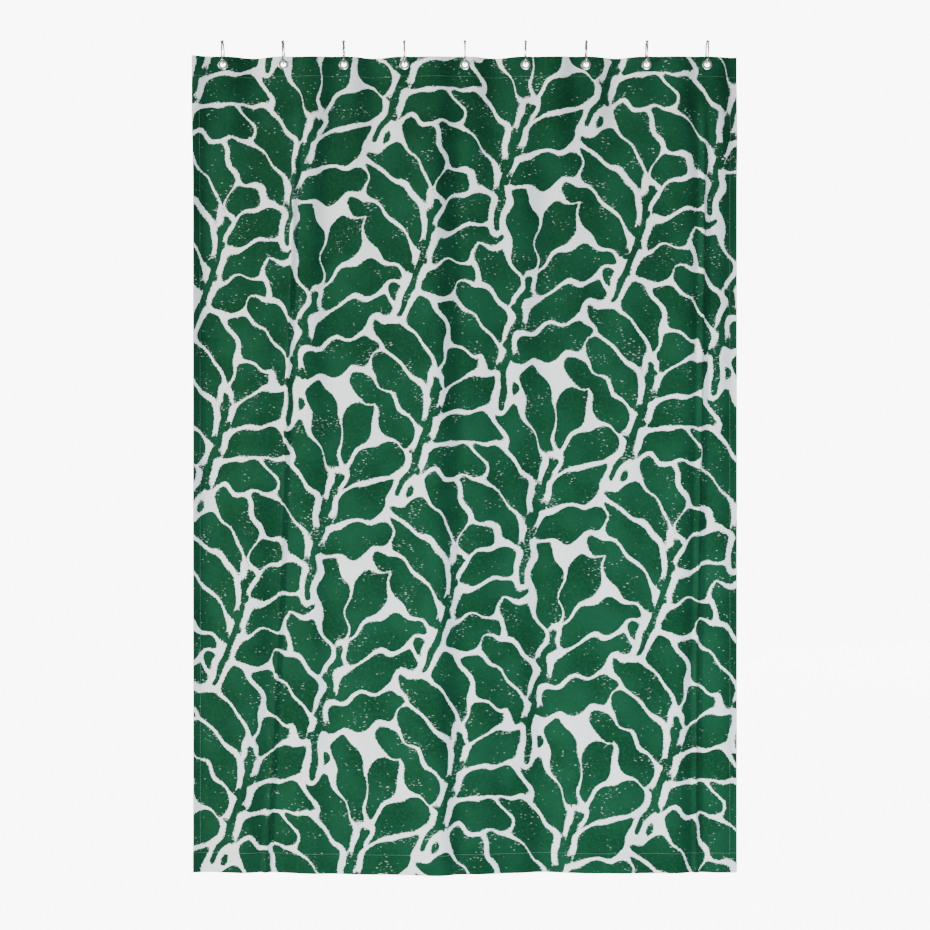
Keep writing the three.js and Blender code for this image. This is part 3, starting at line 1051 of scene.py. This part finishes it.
    def place(self, s: np.ndarray, v: np.ndarray, behind: float) -> np.ndarray:
        """Where places on the cloth are.

        Args:
            s: places along the flat cloth.
            v: places below its top edge.
            behind: how far behind the middle of the cloth, in metres.

        Returns:
            An array of points.
        """
        s, v = np.broadcast_arrays(np.asarray(s, float), np.asarray(v, float))
        slope = self.sample(self.slope, s, v)
        over = s - np.clip(s, 0, self.width)
        ease = np.clip((v - 0.06) / 0.5, 0, 1)
        ripple = np.sin(31 * s + 3.1 * v + 1.5 * np.sin(4.1 * v)) * np.sin(2.3 * v + 5 * s + 0.8)
        ripple = self.ripple * ease * ripple
        x = self.sample(self.x, s, v) - behind * np.sin(slope) + over
        y = self.sample(self.y, s, v) + behind * np.cos(slope) + ripple
        sag = 0.5 - 0.5 * np.cos(2 * math.pi * (s - self.margin()) / self.pitch)
        inside = np.clip(np.minimum(s, self.width - s) / self.margin(), 0, 1)
        z = self.top - v - self.header_sag * sag * inside * np.exp(-v / 0.12)
        return np.stack([x, y, z], axis=-1)


@dataclass
class ClothSheets:
    """The panel, its hems and the stiffener, as thin closed layers that follow the hung cloth."""

    cloth: HungCloth
    thickness: float = 0.0005
    layer_gap: float = 0.0003
    stiffener: float = 0.0004
    eyelet_drop: float = 0.020
    hole: float = 0.0094
    top_hem: float = 0.050
    side_hem: float = 0.020
    bottom_hem: float = 0.050
    cord_radius: float = 0.0012
    cord_lift: float = 0.005
    tape_inset: float = 0.003
    row_spacing: float = 0.018
    hem_row_spacing: float = 0.008
    column_spacing: float = 0.011

    def step(self) -> float:
        """Distance from the middle of the cloth stack to the middle of an outer layer.

        Returns:
            The distance.
        """
        return self.thickness / 2 + self.layer_gap + self.stiffener / 2

    def columns(self, start: float, end: float) -> np.ndarray:
        """Places along the cloth for a layer's columns, closer together at eyelets and pleats.

        Args:
            start: first place.
            end: last place.

        Returns:
            Sorted places.
        """
        places = [np.linspace(start, end, max(int((end - start) / self.column_spacing), 2) + 1)]
        for i in range(RING_COUNT):
            places.append(self.cloth.margin() + i * self.cloth.pitch + ROUND_EYELET)
        for edge in (0, self.cloth.width - 0.036):
            places.append(edge + np.arange(0, 0.036, 0.0025))
        for fold in self.cloth.folds():
            if fold.pleat:
                low, high = sorted((fold.top, fold.bottom))
                places.append(np.arange(low - 2 * fold.width, high + 2 * fold.width, 0.004))
        merged = np.unique(np.concatenate(places))
        merged = merged[(merged > start + 0.0008) & (merged < end - 0.0008)]
        kept = [start]
        for value in merged:
            if value - kept[-1] > 0.0012:
                kept.append(value)
        return np.array(kept + [end])

    def layer(self, name: str, s: np.ndarray, v: np.ndarray, behind: float, thickness: float,
              material: bpy.types.Material) -> bpy.types.Object:
        """One closed layer of cloth, with a hole at each eyelet that it covers.

        Args:
            name: the object's name.
            s: its columns.
            v: its rows.
            behind: where its middle lies behind the cloth's.
            thickness: its thickness.
            material: its finish.

        Returns:
            The object.
        """
        grid_s, grid_v = np.meshgrid(s, v, indexing="ij")
        front = self.cloth.place(grid_s.ravel(), grid_v.ravel(), behind - thickness / 2)
        back = self.cloth.place(grid_s.ravel(), grid_v.ravel(), behind + thickness / 2)
        rows, count = len(v), len(front)
        mid_s, mid_v = (s[1:] + s[:-1]) / 2, (v[1:] + v[:-1]) / 2
        pitch = self.cloth.pitch
        nearest = (mid_s - self.cloth.margin() + pitch / 2) % pitch - pitch / 2
        open_cell = np.hypot(nearest[:, None], mid_v[None, :] - self.eyelet_drop) < self.hole
        faces = []
        for i in range(len(s) - 1):
            for j in range(rows - 1):
                if not open_cell[i, j]:
                    a, b = i * rows + j, (i + 1) * rows + j
                    faces.append((a + 1, b + 1, b, a))
        edges = {}
        for face in faces:
            for k in range(4):
                edges[(face[k], face[(k + 1) % 4])] = True
        rim = [(a, b) for a, b in edges if (b, a) not in edges]
        every = faces + [tuple(k + count for k in reversed(face)) for face in faces]
        every += [(b, a, a + count, b + count) for a, b in rim]
        used = sorted({k for face in every for k in face})
        renumber = {old: new for new, old in enumerate(used)}
        points = np.concatenate([front, back])[used]
        every = [tuple(renumber[k] for k in face) for face in every]
        piece = new_piece(name, points, every, material, 60)
        across, up = grid_s.ravel(), self.cloth.length - grid_v.ravel()
        flat = np.stack([np.tile(across, 2), np.tile(up, 2)], -1)[used] / FLAT_SCALE
        corners = np.empty(len(piece.data.loops), int)
        piece.data.loops.foreach_get("vertex_index", corners)
        layer = piece.data.uv_layers.new(name="flat")
        layer.data.foreach_set("uv", flat[corners].ravel())
        side = piece.data.attributes.new("back", "FLOAT", "POINT")
        side.data.foreach_set("value", np.repeat([0.0, 1.0], count)[used].astype(np.float32))
        return piece

    def rows_between(self, start: float, end: float, spacing: float,
                     extra: tuple | np.ndarray = ()) -> np.ndarray:
        """Places down the cloth for a layer's rows.

        Args:
            start: first place.
            end: last place.
            spacing: wanted spacing.
            extra: more places.

        Returns:
            Sorted places.
        """
        places = np.linspace(start, end, max(int(round((end - start) / spacing)), 1) + 1)
        merged = np.unique(np.concatenate([places, [e for e in extra if start < e < end]]))
        kept = [start]
        for value in merged[1:-1]:
            if value - kept[-1] > 0.0009 and end - value > 0.0009:
                kept.append(value)
        return np.array(kept + [end])

    def build(self, cloth_material: bpy.types.Material,
              tape_material: bpy.types.Material) -> dict[str, bpy.types.Object]:
        """Make every layer.

        Args:
            cloth_material: finish of the printed cloth.
            tape_material: finish of the stiffener.

        Returns:
            The objects by CAD node name.
        """
        width, length, step = self.cloth.width, self.cloth.length, self.step()
        whole = self.columns(0, width)
        round_hole = self.eyelet_drop + ROUND_EYELET
        side_at = -step + self.thickness + self.layer_gap
        low_at = -step + self.thickness + 2 * self.layer_gap + 2 * self.cord_radius
        down = self.rows_between(0, length, self.row_spacing, round_hole)
        hem_down = self.rows_between(0, self.top_hem, self.hem_row_spacing, round_hole)
        inset = self.tape_inset
        tape_down = self.rows_between(inset, self.top_hem - inset, self.hem_row_spacing, round_hole)
        start, end = self.top_hem + self.layer_gap, length - self.bottom_hem - self.layer_gap
        middle = self.rows_between(start, end, self.row_spacing)
        low_down = self.rows_between(length - self.bottom_hem, length, self.hem_row_spacing)
        anchor_side = self.columns(0, self.side_hem)
        leading_side = self.columns(width - self.side_hem, width)
        plan = {"panel": ("cloth_panel", whole, down, -step),
                "top_hem": ("top_hem_cloth", whole, hem_down, step),
                "header_stiffener": ("header_tape", whole, tape_down, 0.0),
                "anchor_side_hem": ("anchor_side_hem_cloth", anchor_side, middle, side_at),
                "leading_side_hem": ("leading_side_hem_cloth", leading_side, middle, side_at),
                "bottom_hem": ("bottom_hem_cloth", whole, low_down, low_at)}
        made = {}
        for node, (name, across, rows, behind) in plan.items():
            is_tape = node == "header_stiffener"
            thickness = self.stiffener if is_tape else self.thickness
            material = tape_material if is_tape else cloth_material
            made[node] = self.layer(name, across, rows, behind, thickness, material)
        return made


# ------------------------------------------------------------------------------ rows of small things


@dataclass
class RowMaker:
    """A Geometry Nodes tree that sets small beads or stitches along a path."""

    tree: bpy.types.NodeTree | None = None

    def build(self) -> None:
        """Write the tree: the path's points, a bead on each, made real."""
        tree = bpy.data.node_groups.new("Row along a path", "GeometryNodeTree")
        face = tree.interface
        face.new_socket("Geometry", in_out="INPUT", socket_type="NodeSocketGeometry")
        for label in ("Pitch", "Bead Length", "Bead Width"):
            face.new_socket(label, in_out="INPUT", socket_type="NodeSocketFloat")
        face.new_socket("Finish", in_out="INPUT", socket_type="NodeSocketMaterial")
        face.new_socket("Geometry", in_out="OUTPUT", socket_type="NodeSocketGeometry")
        book = NodeBook(tree)
        given, result = book.node("NodeGroupInput").outputs, book.node("NodeGroupOutput").inputs
        path = book.node("GeometryNodeMeshToCurve")
        book.feed(path.inputs["Mesh"], given["Geometry"])
        points = book.node("GeometryNodeCurveToPoints", mode="LENGTH")
        book.feed(points.inputs["Curve"], path.outputs["Curve"])
        book.feed(points.inputs["Length"], given["Pitch"])
        bead = book.node("GeometryNodeMeshIcoSphere")
        bead.inputs["Radius"].default_value = 0.5
        bead.inputs["Subdivisions"].default_value = 1
        size = book.node("ShaderNodeCombineXYZ")
        book.feed(size.inputs["X"], given["Bead Width"])
        book.feed(size.inputs["Y"], given["Bead Width"])
        book.feed(size.inputs["Z"], given["Bead Length"])
        place = book.node("GeometryNodeInstanceOnPoints")
        book.feed(place.inputs["Points"], points.outputs["Points"])
        book.feed(place.inputs["Instance"], bead.outputs["Mesh"])
        book.feed(place.inputs["Rotation"], points.outputs["Rotation"])
        book.feed(place.inputs["Scale"], size.outputs[0])
        real = book.node("GeometryNodeRealizeInstances")
        book.feed(real.inputs[0], place.outputs[0])
        finish = book.node("GeometryNodeSetMaterial")
        book.feed(finish.inputs["Geometry"], real.outputs[0])
        book.feed(finish.inputs["Material"], given["Finish"])
        book.feed(result[0], finish.outputs[0])
        self.tree = tree

    def row(self, name: str, paths: list[np.ndarray], pitch: float, length: float, width: float,
            material: bpy.types.Material) -> bpy.types.Object:
        """Set a row along some paths and turn it into a plain mesh.

        Args:
            name: the object's name.
            paths: arrays of points.
            pitch: spacing.
            length: each bead's length along the path.
            width: its width.
            material: its finish.

        Returns:
            The object.
        """
        points, edges = [], []
        for path in paths:
            start = len(points)
            points += [tuple(p) for p in path]
            edges += [(start + k, start + k + 1) for k in range(len(path) - 1)]
        mesh = bpy.data.meshes.new(name + "_path")
        mesh.from_pydata(points, edges, [])
        guide = bpy.data.objects.new(name + "_path", mesh)
        bpy.context.collection.objects.link(guide)
        modifier = guide.modifiers.new("row", "NODES")
        modifier.node_group = self.tree
        values = {"Pitch": pitch, "Bead Length": length, "Bead Width": width, "Finish": material}
        for item in self.tree.interface.items_tree:
            if item.in_out == "INPUT" and item.name in values:
                modifier[item.identifier] = values[item.name]
        shown = guide.evaluated_get(bpy.context.evaluated_depsgraph_get())
        result = bpy.data.meshes.new_from_object(shown)
        result.name = name
        result.polygons.foreach_set("use_smooth", [True] * len(result.polygons))
        piece = bpy.data.objects.new(name, result)
        bpy.context.collection.objects.link(piece)
        bpy.data.objects.remove(guide)
        return piece


@dataclass
class Sewing:
    """The rows of stitches that hold the hems, and the beads that weigh the bottom hem."""

    sheets: ClothSheets
    maker: RowMaker
    inset: float = 0.002
    pitch: float = 0.0034
    stitch: float = 0.0027
    thread: float = 0.0006
    bead: float = 0.0021
    bead_pitch: float = 0.0036

    def line(self, s: np.ndarray, v: np.ndarray, face: Face) -> np.ndarray:
        """A path on a face of the hemmed cloth.

        Args:
            s: places along.
            v: places down.
            face: which face.

        Returns:
            The path's points.
        """
        sheets = self.sheets
        depth = sheets.step() + sheets.thickness / 2 + self.thread * 0.15
        return sheets.cloth.place(s, v, face.value * depth)

    def hems(self, face: Face) -> list[np.ndarray]:
        """The seams of all four hems.

        Args:
            face: which face.

        Returns:
            One path for each seam.
        """
        sheets, cloth = self.sheets, self.sheets.cloth
        along = np.linspace(0.003, cloth.width - 0.003, 700)
        down = np.linspace(sheets.top_hem + 0.002, cloth.length - sheets.bottom_hem - 0.002, 400)
        paths = []
        for v in (sheets.top_hem - self.inset, cloth.length - sheets.bottom_hem + self.inset):
            paths.append(self.line(along, np.full_like(along, v), face))
        for s in (sheets.side_hem - self.inset, cloth.width - sheets.side_hem + self.inset):
            paths.append(self.line(np.full_like(down, s), down, face))
        return paths

    def build(self, thread_material: bpy.types.Material,
              bead_material: bpy.types.Material) -> dict[str, bpy.types.Object]:
        """Make the stitches and the bead cord.

        Args:
            thread_material: finish of the thread.
            bead_material: finish of the beads.

        Returns:
            The objects by name.
        """
        made = {}
        for face in Face:
            name = f"hem_stitches_{face.name.lower()}"
            made[name] = self.maker.row(name, self.hems(face), self.pitch, self.stitch, self.thread,
                                        thread_material)
        sheets, cloth = self.sheets, self.sheets.cloth
        along = np.linspace(0.002, cloth.width - 0.002, 500)
        depth = -sheets.step() + sheets.thickness / 2 + sheets.layer_gap + sheets.cord_radius
        path = cloth.place(along, np.full_like(along, cloth.length - sheets.cord_lift), depth)
        made["weight_beads"] = self.maker.row("weight_beads", [path], self.bead_pitch, self.bead, self.bead,
                                              bead_material)
        return made


# ------------------------------------------------------------------------------ eyelets and rings


@dataclass
class Eyelet:
    """A pressed eyelet and its washer, turned about the Y axis."""

    hole: float = 0.006
    barrel: float = 0.0069
    flange: float = 0.012
    lip: float = 0.0086
    washer_hole: float = 0.0073
    washer: float = 0.0006
    gap: float = 0.0003
    stack_half: float = 0.001

    def eyelet_shape(self) -> Shape:
        """The face flange, domed, with the barrel and the lip rolled over at the back.

        Returns:
            The shape about its own centre.
        """
        face = -(self.stack_half + self.gap)
        lip = self.stack_half + self.gap + self.washer + self.gap
        dome = [(self.flange - 0.00035, face - 0.0007), (self.flange - 0.0001, face - 0.0005),
                (self.flange, face - 0.0002), (self.flange, face)]
        crown = [(self.hole + 0.0003, face - 0.0006), (self.hole + 0.0012, face - 0.001),
                 (self.hole + 0.003, face - 0.00095)]
        roll = [(self.barrel, face), (self.barrel, lip), (self.lip, lip), (self.lip, lip + 0.0003),
                (self.lip - 0.0005, lip + 0.00065), (self.hole + 0.001, lip + 0.0006),
                (self.hole, lip - 0.0004)]
        shape = Shape()
        shape.turned([(self.hole, -0.0015)] + crown + dome + roll, Vector((0, 1, 0)), Vector())
        return shape

    def washer_shape(self) -> Shape:
        """The flat washer with softened rims.

        Returns:
            The shape about its own centre.
        """
        near = self.stack_half + self.gap
        far, soft = near + self.washer, 0.00015
        profile = [(self.washer_hole, near), (self.flange - soft, near), (self.flange, near + soft),
                   (self.flange, far - soft), (self.flange - soft, far), (self.washer_hole, far)]
        shape = Shape()
        shape.turned(profile, Vector((0, 1, 0)), Vector())
        return shape


@dataclass
class SnapRing:
    """A hoop of round wire with a hinged gate. The shapes' own origin is the ring's centre."""

    radius: float = 0.027
    wire: float = 0.002
    gate_angle: float = 50
    setback: float = 9
    knuckle: float = 0.0035
    knuckle_width: float = 0.002
    ear_gap: float = 0.0003
    ear_width: float = 0.0018
    reach: float = 15
    pin: float = 0.0012
    pin_clearance: float = 0.00015
    pin_head: float = 0.002
    pin_head_width: float = 0.0006
    ball: float = 0.0025
    cup: float = 0.0044
    cup_clearance: float = 0.00045
    seat_cut: float = 0.0004
    seat_half: float = 0.0045

    def on(self, degrees: float) -> Vector:
        """A point of the ring's middle line.

        Args:
            degrees: the angle, from the front over the top to the back.

        Returns:
            The point.
        """
        a = math.radians(degrees)
        return Vector((0, -self.radius * math.cos(a), self.radius * math.sin(a)))

    def wire_part(self, shape: Shape, start: float, end: float) -> None:
        """Round wire along the ring.

        Args:
            shape: what it is added to.
            start: first angle in degrees.
            end: last angle in degrees.
        """
        steps = max(int(abs(end - start) / 3), 2)
        rings = []
        for k in range(steps + 1):
            angle = start + (end - start) * k / steps
            a = math.radians(angle)
            out = Vector((0, -math.cos(a), math.sin(a)))
            middle = self.on(angle)
            ring = []
            for i in range(20):
                b = 2 * math.pi * i / 20
                ring.append(middle + out * self.wire * math.cos(b) + Vector((self.wire * math.sin(b), 0, 0)))
            rings.append(ring)
        shape.loft(rings)

    def link(self, shape: Shape, angle: float, x0: float, x1: float) -> None:
        """A rounded link from the hinge pin to the wire, bored for the pin.

        Args:
            shape: what it is added to.
            angle: where on the ring it ends, in degrees.
            x0: one face.
            x1: the other face.
        """
        pin, end = self.on(self.gate_angle), self.on(angle)
        run = (end - pin).normalized()
        side = Vector((0, -run.z, run.y))
        length = (end - pin).length
        outline = []
        for k in range(13):
            a = math.pi / 2 + math.pi * k / 12
            outline.append((self.knuckle * math.cos(a), self.knuckle * math.sin(a)))
        for k in range(7):
            a = -math.pi / 2 + math.pi * k / 6
            outline.append((length - 0.0006 + self.wire * 0.6 * math.cos(a), self.wire * math.sin(a)))
        bore, soft, rings = self.pin + self.pin_clearance, 0.0002, []
        for (u0, w0), (u1, w1) in zip(outline, outline[1:] + outline[:1]):
            parts = max(int(math.dist((u0, w0), (u1, w1)) / 0.0007), 1)
            for k in range(parts):
                u, w = u0 + (u1 - u0) * k / parts, w0 + (w1 - w0) * k / parts
                size = math.hypot(u, w)
                rim = [(size - soft, x0), (size, x0 + soft), (size, x1 - soft), (size - soft, x1),
                       (bore, x1), (bore, x0)]
                way = (run * u + side * w) / size
                rings.append([pin + way * r + Vector((x, 0, 0)) for r, x in rim])
        shape.loft(rings, closed=True)

    def ball_part(self, shape: Shape, centre: Vector, radius: float) -> None:
        """A ball.

        Args:
            shape: what it is added to.
            centre: its centre.
            radius: its radius.
        """
        rings = []
        for k in range(1, 14):
            a = math.pi * k / 14
            wide, high = radius * math.sin(a), radius * math.cos(a)
            rings.append([centre + Vector((wide * math.cos(b), wide * math.sin(b), high))
                          for b in np.linspace(0, 2 * math.pi, 24, False)])
        shape.loft(rings)

    def hoop_shape(self) -> Shape:
        """The hoop: wire, two ears for the pin, an open cup and a flat seat for the rod.

        Returns:
            The shape.
        """
        shape = Shape()
        self.wire_part(shape, self.gate_angle + self.setback, 360 - self.gate_angle - 7.5)
        near = self.knuckle_width / 2 + self.ear_gap
        self.link(shape, self.gate_angle + self.reach, near, near + self.ear_width)
        self.link(shape, self.gate_angle + self.reach, -near - self.ear_width, -near)
        a = math.radians(-self.gate_angle)
        mouth = Vector((0, math.sin(a), math.cos(a)))
        inner = self.ball + self.cup_clearance
        outside = [(self.cup * math.sin(b), self.cup * math.cos(b)) for b in np.linspace(math.pi, 1.75, 12)]
        inside = [(inner * math.sin(b), inner * math.cos(b)) for b in np.linspace(1.85, math.pi, 10)]
        bowl = [(max(r, 1e-6), h) for r, h in outside + inside]
        shape.turned(bowl, mouth, self.on(-self.gate_angle), 32)
        seat = self.radius - self.wire + self.seat_cut
        for k, (x, y, z) in enumerate(shape.vertices):
            if abs(y) < self.seat_half and self.radius - self.wire - 0.001 < z < seat:
                shape.vertices[k] = (x, y, seat)
        return shape

    def gate_shape(self) -> Shape:
        """The gate: an eye, wire down the front and a ball at its tip.

        Returns:
            The shape.
        """
        shape = Shape()
        self.wire_part(shape, -self.gate_angle, self.gate_angle - self.setback)
        self.link(shape, self.gate_angle - self.reach, -self.knuckle_width / 2, self.knuckle_width / 2)
        self.ball_part(shape, self.on(-self.gate_angle), self.ball)
        return shape

    def pin_shape(self) -> Shape:
        """The hinge pin with a domed head at both ends.

        Returns:
            The shape.
        """
        shape = Shape()
        shaft = self.knuckle_width / 2 + self.ear_gap + self.ear_width + 0.0003
        end = shaft + self.pin_head_width
        half = [(self.pin, 0), (self.pin, shaft), (self.pin_head, shaft), (self.pin_head, shaft + 0.0002),
                (self.pin_head * 0.8, end - 0.0001), (1e-6, end)]
        profile = [(r, -h) for r, h in reversed(half[1:])] + half
        shape.turned(profile, Vector((1, 0, 0)), self.on(self.gate_angle), 24)
        return shape


@dataclass
class Hardware:
    """The nine eyelets and the nine snap rings."""

    eyelet: Eyelet = field(default_factory=Eyelet)
    ring: SnapRing = field(default_factory=SnapRing)

    def build(self, nickel: bpy.types.Material, steel: bpy.types.Material) -> None:
        """Make every eyelet and ring, each in its CAD node's place and on its CAD body.

        Args:
            nickel: finish of the eyelets.
            steel: finish of the rings.
        """
        shapes = {"eyelet": (self.eyelet.eyelet_shape(), nickel, "nickel"),
                  "eyelet_washer": (self.eyelet.washer_shape(), nickel, "nickel"),
                  "ring_hoop": (self.ring.hoop_shape(), steel, "polished_steel"),
                  "ring_gate": (self.ring.gate_shape(), steel, "polished_steel"),
                  "hinge_pin": (self.ring.pin_shape(), steel, "polished_steel")}
        for number in range(1, RING_COUNT + 1):
            low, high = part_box(f"eyelet_{number}")
            eyelet_at = Vector(((low[0] + high[0]) / 2, 0, (low[2] + high[2]) / 2))
            low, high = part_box(f"hinge_pin_{number}")
            pin_at = Vector(((low[0] + high[0]) / 2, (low[1] + high[1]) / 2, (low[2] + high[2]) / 2))
            ring_at = pin_at - self.ring.on(self.ring.gate_angle)
            first = number == 1
            bodies = {"eyelet": "curtain" if first else f"eyelet_{number}_set",
                      "ring": "anchor_ring" if first else f"ring_{number}_set"}
            for kind, (shape, material, slot) in shapes.items():
                at = eyelet_at if kind.startswith("eyelet") else ring_at
                piece = shape.piece(f"{kind}_{number}_finished", material, at, 35)
                body = bodies["eyelet" if kind.startswith("eyelet") else "ring"]
                if kind == "ring_gate":
                    body = f"gate_{number}_set"
                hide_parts(f"{kind}_{number}")
                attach(piece, body)
                log.info("hardware: %s rides on %s, %d faces", piece.name, body, len(piece.data.polygons))


# ------------------------------------------------------------------------------ the studio


@dataclass
class Studio:
    """Floor, backdrop, lights and camera."""

    middle: float
    frame_width: float = 2.2549
    lens: float = 85.0
    backdrop: float = 9.0
    ambient: float = 0.28

    def camera(self) -> None:
        """Set the camera square on to the cloth."""
        data = bpy.data.cameras.new("camera")
        data.lens, data.sensor_width, data.clip_end = self.lens, 36.0, 100.0
        camera = bpy.data.objects.new("camera", data)
        distance = self.frame_width * self.lens / 36.0
        camera.location = (0, -distance, self.middle)
        camera.rotation_euler = (math.pi / 2, 0, 0)
        bpy.context.collection.objects.link(camera)
        bpy.context.scene.camera = camera

    def area(self, name: str, at: tuple, size: tuple, power: float, colour: tuple, aim: tuple) -> None:
        """Add a soft rectangular light.

        Args:
            name: its name.
            at: where it stands.
            size: width and height.
            power: watts.
            colour: its colour.
            aim: what it points at.
        """
        data = bpy.data.lights.new(name, "AREA")
        data.shape, data.size, data.size_y = "RECTANGLE", size[0], size[1]
        data.energy, data.color = power, colour
        light = bpy.data.objects.new(name, data)
        light.visible_camera = False
        light.location = at
        light.rotation_euler = (Vector(aim) - Vector(at)).to_track_quat("-Z", "Y").to_euler()
        bpy.context.collection.objects.link(light)

    def build(self, floor_at: float) -> None:
        """Make the floor, the lights, the surroundings and the camera.

        Args:
            floor_at: the floor's height.
        """
        material, _, shader = new_material("pale floor")
        shader.inputs["Base Color"].default_value = (0.08, 0.08, 0.08, 1)
        shader.inputs["Roughness"].default_value = 0.9
        shader.inputs["Specular IOR Level"].default_value = 0.0
        shader.inputs["Emission Color"].default_value = (1.0, 1.0, 1.0, 1)
        shader.inputs["Emission Strength"].default_value = self.backdrop
        corners = [(-60, -60, floor_at), (60, -60, floor_at), (60, 60, floor_at), (-60, 60, floor_at)]
        floor = new_piece("floor", corners, [(0, 1, 2, 3)], material)
        floor.visible_diffuse = False
        floor.visible_glossy = False
        self.surroundings()
        self.area("key", (-9.0, -5.2, -0.8), (2.0, 2.6), 1700, (0.99, 0.97, 0.86), (0, 0, -1.3))
        self.area("low fill", (0.5, -2.5, -1.65), (1.6, 0.6), 130, (0.76, 0.96, 1.0), (0.1, 0, -1.8))
        self.area("back fill", (4.0, 6.5, 0.0), (3.0, 3.0), 900, (0.98, 0.99, 1.0), (0, 0, -1.0))
        self.camera()

    def surroundings(self) -> None:
        """Light from all round, dimmer than the backdrop that is seen behind the curtain."""
        world = bpy.data.worlds.new("surroundings")
        world.use_nodes = True
        book = NodeBook(world.node_tree)
        seen = world.node_tree.nodes["Background"]
        seen.inputs["Color"].default_value = (1.0, 1.0, 1.0, 1)
        seen.inputs["Strength"].default_value = self.backdrop
        glow = book.node("ShaderNodeBackground")
        glow.inputs["Color"].default_value = (0.96, 0.98, 1.0, 1)
        glow.inputs["Strength"].default_value = self.ambient
        either = book.node("ShaderNodeMixShader")
        book.feed(either.inputs[0], book.node("ShaderNodeLightPath").outputs["Is Camera Ray"])
        book.feed(either.inputs[1], glow.outputs[0])
        book.feed(either.inputs[2], seen.outputs[0])
        book.feed(world.node_tree.nodes["World Output"].inputs["Surface"], either.outputs[0])
        bpy.context.scene.world = world


# ------------------------------------------------------------------------------ assembly


def main() -> None:
    """Build every sub-assembly in order and say what moves with what."""
    logging.basicConfig(level=logging.INFO, format="%(message)s")
    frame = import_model()

    low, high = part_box("panel")
    cloth = HungCloth(top=high[2], hung_width=high[0] - low[0])
    studio = Studio(cloth.top - cloth.length / 2)
    studio.build(cloth.top - cloth.length - 0.03)

    leaf_print = LeafPrint()
    leaf_print.plant()
    leaf_print.grow()
    printed = PrintedCloth().material(leaf_print)
    tape = PlainWeave("stiffener tape", (0.78, 0.76, 0.77, 1), 0.0016).material()
    thread = PlainWeave("sewing thread", (0.22, 0.30, 0.25, 1), 0.0005, 0.6).material()
    nickel = Metal("satin nickel", (0.74, 0.73, 0.71, 1), 0.26).material()
    steel = Metal("polished steel", (0.80, 0.80, 0.81, 1), 0.13).material()
    beads = Metal("weight beads", (0.55, 0.55, 0.54, 1), 0.35).material()

    Hardware().build(nickel, steel)

    sheets = ClothSheets(cloth)
    layers = sheets.build(printed, tape)
    maker = RowMaker()
    maker.build()
    sewing = Sewing(sheets, maker).build(thread, beads)

    low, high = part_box("eyelet_1")
    low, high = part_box("eyelet_9")

    for node, piece in layers.items():
        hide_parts(node)
    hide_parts("hem_weight_cord")
    pieces = list(layers.values()) + list(sewing.values())
    for piece in pieces:
        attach(piece, "curtain")
        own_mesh(piece)
        log.info("cloth: %s, %d faces", piece.name, len(piece.data.polygons))

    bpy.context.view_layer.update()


if __name__ == "__main__":
    main()
